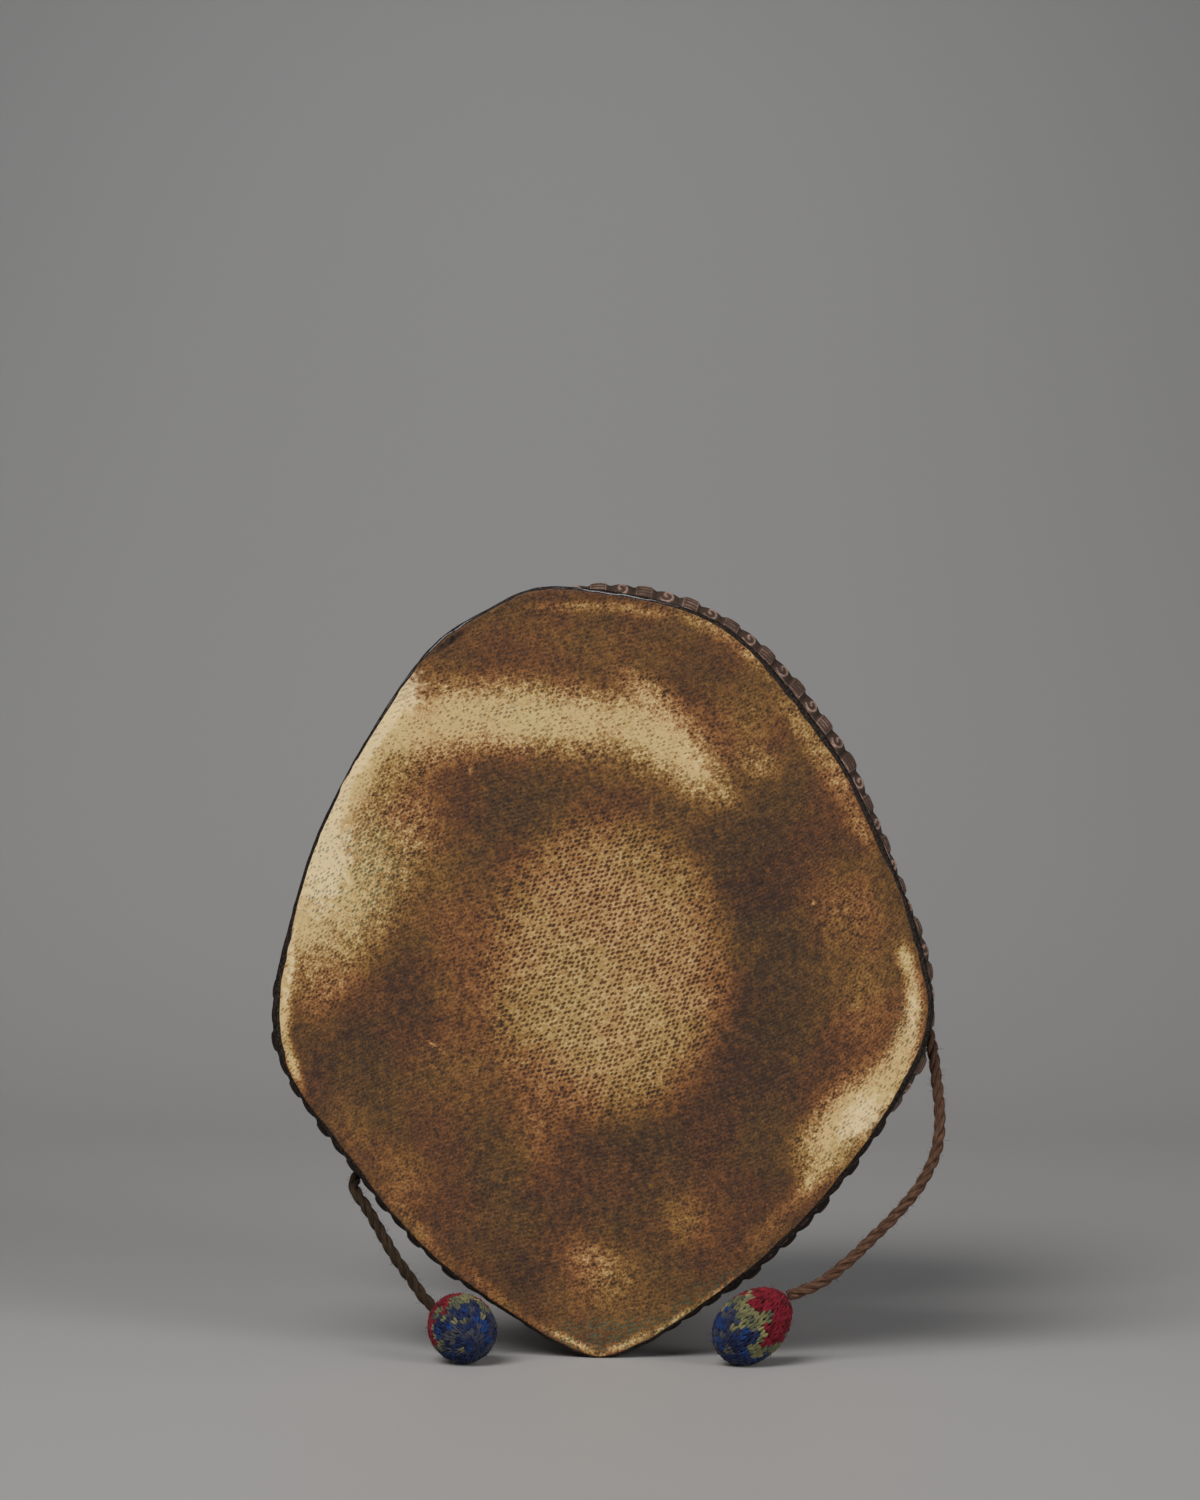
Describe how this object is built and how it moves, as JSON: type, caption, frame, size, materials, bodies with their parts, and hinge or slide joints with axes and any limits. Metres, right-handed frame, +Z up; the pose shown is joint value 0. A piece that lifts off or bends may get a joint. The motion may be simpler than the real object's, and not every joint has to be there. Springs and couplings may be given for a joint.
{
  "type": "damaru drum",
  "caption": "Two-headed hourglass hand drum of joined bowls with hide heads, repousse rim bands and two beaters on cords from the waist.",
  "frame": {"origin": "on the surface that the drum stands on, under the middle of the drum without its cords and beaters", "axes": "+Z up, -Y out of the front head, towards the beaters, +X to the right as the front head is seen"},
  "size_m": [0.1279, 0.1067, 0.1456],
  "materials": {
    "bowl": "dark, worn and waxed by handling",
    "hide": "bare hide, stained brown and cream, with visible pores and a blackened lap",
    "copper": "aged brown copper sheet, worked in repousse",
    "binding": "wound twisted cord, darkened",
    "cord": "twisted cord, fuzzy",
    "yarn": "looped wool in red, khaki green and blue"
  },
  "bodies": {
    "root": {"front_bowl": "bowl", "back_bowl": "bowl", "front_skin": "hide", "back_skin": "hide", "front_band": "copper", "back_band": "copper", "waist_binding": "binding", "cord_left": "cord", "cord_right": "cord", "beater_left": "yarn", "beater_right": "yarn"}
  },
  "joints": []
}
